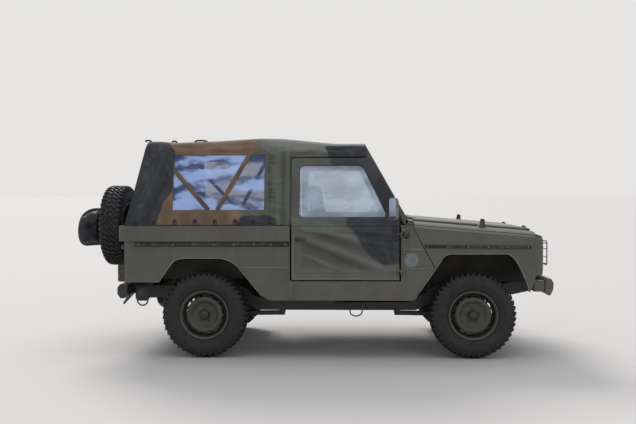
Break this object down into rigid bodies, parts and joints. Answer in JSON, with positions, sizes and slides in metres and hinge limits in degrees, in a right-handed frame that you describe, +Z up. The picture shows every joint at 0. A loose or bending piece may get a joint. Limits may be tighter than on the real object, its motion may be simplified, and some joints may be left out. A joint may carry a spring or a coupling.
{
  "type": "army 4x4 car",
  "caption": "Short soft-topped army field car with box arches, canvas doors, vinyl windows and a side-hinged tailgate that carries the spare wheel.",
  "frame": {"origin": "on the ground, in the middle of the overall length and width", "axes": "+X forward, +Y to the car's left, +Z up"},
  "size_m": [4.39, 2.0082, 1.974],
  "materials": {
    "army_paint": "matt",
    "black_paint": "satin",
    "rim_paint": "matt",
    "tyre_rubber": "matt",
    "rubber": "matt",
    "canvas": "matt",
    "clear_vinyl": "gloss",
    "glass": "gloss",
    "lamp_lens": "gloss",
    "signal_lens": "gloss",
    "seat_cover": "matt",
    "bag_cover": "matt",
    "cast_iron": "matt",
    "steel": "satin",
    "dark_plastic": "matt",
    "mirror_glass": "gloss"
  },
  "bodies": {
    "chassis": {"axles": "black_paint", "body_side_left": "army_paint", "body_side_right": "army_paint", "cross_members": "black_paint", "dashboard": "dark_plastic", "engine": "cast_iron", "exhaust": "steel", "fender_left": "army_paint", "fender_right": "army_paint", "floor_pan": "army_paint", "frame": "black_paint", "front_bumper": "army_paint", "front_panel": "army_paint", "front_seats": "seat_cover", "fuel_tank": "black_paint", "grille": "black_paint", "headlamps": "lamp_lens", "inner_fenders": "army_paint", "radiator": "black_paint", "rear_benches": "seat_cover", "rear_bumper": "army_paint", "rub_strips": "rubber", "scuttle": "army_paint", "signal_lamps": "signal_lens", "soft_top": "canvas", "soft_top_windows": "clear_vinyl", "steering_column": "dark_plastic", "suspension": "black_paint", "tie_downs": "black_paint", "top_bows": "army_paint", "transmission": "cast_iron", "windscreen_frame": "army_paint", "windscreen_glass": "glass"},
    "steering_wheel": {"steering_wheel": "dark_plastic"},
    "knuckle_left": {"knuckle_left": "black_paint"},
    "knuckle_right": {"knuckle_right": "black_paint"},
    "tie_rod": {"tie_rod": "steel"},
    "door_left": {"door_left": "canvas", "door_pane_left": "clear_vinyl", "mirror_left": "mirror_glass"},
    "door_right": {"door_right": "canvas", "door_pane_right": "clear_vinyl", "mirror_right": "mirror_glass"},
    "hood": {"hood": "army_paint"},
    "tailgate": {"tailgate": "army_paint", "tyre_spare": "tyre_rubber", "rim_spare": "rim_paint", "spare_bag": "bag_cover"},
    "wheel_front_left": {"tyre_front_left": "tyre_rubber", "rim_front_left": "rim_paint"},
    "wheel_front_right": {"tyre_front_right": "tyre_rubber", "rim_front_right": "rim_paint"},
    "wheel_rear_left": {"tyre_rear_left": "tyre_rubber", "rim_rear_left": "rim_paint"},
    "wheel_rear_right": {"tyre_rear_right": "tyre_rubber", "rim_rear_right": "rim_paint"}
  },
  "joints": [
    {"name": "steer_left", "type": "hinge", "parent": "chassis", "child": "knuckle_left", "pos_m": [1.492, 0.64, 0.384], "axis": [0, 0, 1], "range_deg": [-28, 28]},
    {"name": "steer_right", "type": "hinge", "parent": "chassis", "child": "knuckle_right", "pos_m": [1.492, -0.64, 0.384], "axis": [0, 0, 1], "range_deg": [-28, 28]},
    {"name": "tie_rod_turn", "type": "hinge", "parent": "knuckle_left", "child": "tie_rod", "pos_m": [1.627, 0.64, 0.3214], "axis": [0, 0, 1], "range_deg": [-28, 28]},
    {"name": "steering_wheel_turn", "type": "hinge", "parent": "chassis", "child": "steering_wheel", "pos_m": [0.592, 0.37, 1.215], "axis": [-0.8829, 0, 0.4695], "range_deg": [-505, 505]},
    {"name": "wheel_front_left_spin", "type": "hinge", "parent": "knuckle_left", "child": "wheel_front_left", "pos_m": [1.492, 0.7125, 0.384], "axis": [0, 1, 0], "continuous": true},
    {"name": "wheel_front_right_spin", "type": "hinge", "parent": "knuckle_right", "child": "wheel_front_right", "pos_m": [1.492, -0.7125, 0.384], "axis": [0, 1, 0], "continuous": true},
    {"name": "wheel_rear_left_spin", "type": "hinge", "parent": "chassis", "child": "wheel_rear_left", "pos_m": [-0.908, 0.7125, 0.384], "axis": [0, 1, 0], "continuous": true},
    {"name": "wheel_rear_right_spin", "type": "hinge", "parent": "chassis", "child": "wheel_rear_right", "pos_m": [-0.908, -0.7125, 0.384], "axis": [0, 1, 0], "continuous": true},
    {"name": "door_left_swing", "type": "hinge", "parent": "chassis", "child": "door_left", "pos_m": [0.849, 0.87, 1], "axis": [0, 0, -1], "range_deg": [0, 80]},
    {"name": "door_right_swing", "type": "hinge", "parent": "chassis", "child": "door_right", "pos_m": [0.849, -0.87, 1], "axis": [0, 0, 1], "range_deg": [0, 80]},
    {"name": "hood_lift", "type": "hinge", "parent": "chassis", "child": "hood", "pos_m": [0.954, 0, 1.241], "axis": [0, -1, 0], "range_deg": [0, 65]},
    {"name": "tailgate_swing", "type": "hinge", "parent": "chassis", "child": "tailgate", "pos_m": [-1.664, -0.731, 0.95], "axis": [0, 0, 1], "range_deg": [0, 100]}
  ],
  "couplings": [
    {"joint": "steer_right", "follows": "steer_left", "ratio": 1},
    {"joint": "tie_rod_turn", "follows": "steer_left", "ratio": -1},
    {"joint": "steering_wheel_turn", "follows": "steer_left", "ratio": 18}
  ]
}
